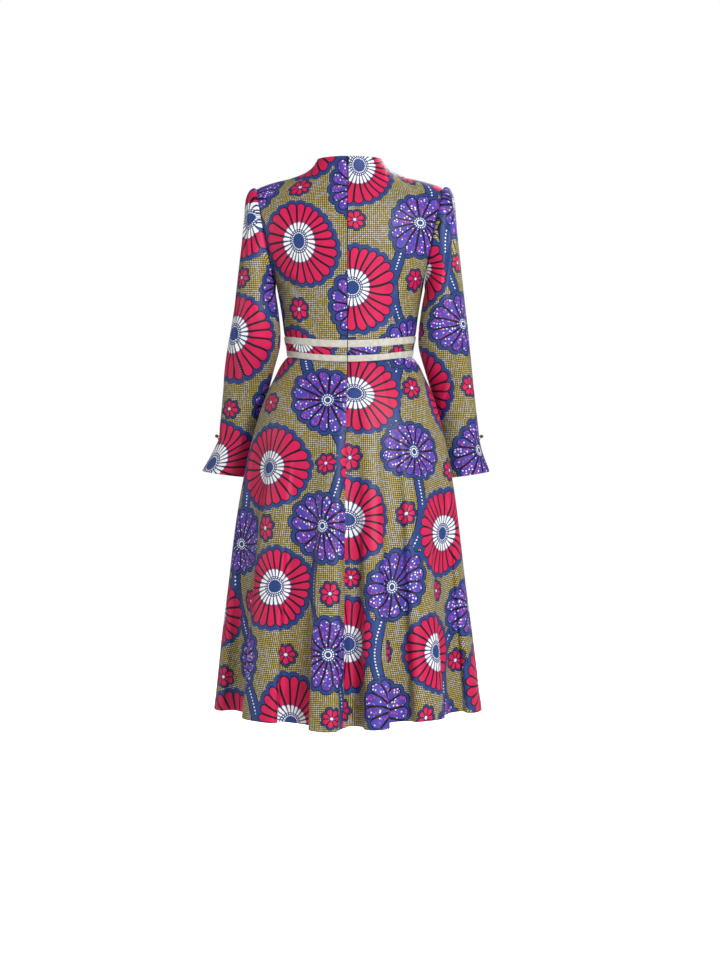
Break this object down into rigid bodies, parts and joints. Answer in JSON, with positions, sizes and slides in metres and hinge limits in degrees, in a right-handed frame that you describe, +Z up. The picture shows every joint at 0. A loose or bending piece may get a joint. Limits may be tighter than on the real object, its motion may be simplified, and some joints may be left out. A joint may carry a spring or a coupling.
{
  "type": "a-line dress",
  "caption": "Long-sleeved printed a-line dress with a grown-on neck, a ribboned waistband, a back zip and a fluted mid-calf skirt, hollow as worn.",
  "frame": {"origin": "midway between the wearer's shoulders, at the height where the shoulder seams rest", "axes": "+Z up, the garment's front faces -Y and its zipped back faces +Y, +X is the wearer's left"},
  "size_m": [0.6263, 0.5427, 1.1824],
  "materials": {
    "printed_cloth": "satin-faced cotton with a many-coloured print",
    "ribbon": "ribbed grosgrain",
    "zip": "black tape and coil",
    "zip_metal": "black enamel",
    "button": "antiqued"
  },
  "bodies": {
    "dress": {"bodice_back_left": "printed_cloth", "bodice_back_right": "printed_cloth", "bodice_front": "printed_cloth", "waistband_back_left": "printed_cloth", "waistband_back_right": "printed_cloth", "waistband_front": "printed_cloth", "skirt_back_left": "printed_cloth", "skirt_back_right": "printed_cloth", "skirt_front": "printed_cloth", "sleeve_left": "printed_cloth", "sleeve_right": "printed_cloth", "ribbon_upper_back_left": "ribbon", "ribbon_upper_back_right": "ribbon", "ribbon_upper_front": "ribbon", "ribbon_lower_back_left": "ribbon", "ribbon_lower_back_right": "ribbon", "ribbon_lower_front": "ribbon", "ribbon_diagonal": "ribbon", "zip": "zip", "zip_slider": "zip_metal", "cuff_button_left": "button", "cuff_button_right": "button"},
    "pull_tab": {"zip_pull_tab": "zip_metal"}
  },
  "joints": [
    {"name": "pull_tab_swing", "type": "hinge", "parent": "dress", "child": "pull_tab", "pos_m": [0, 0.07176, 0.0465], "axis": [1, 0, 0], "range_deg": [-4, 165]}
  ]
}
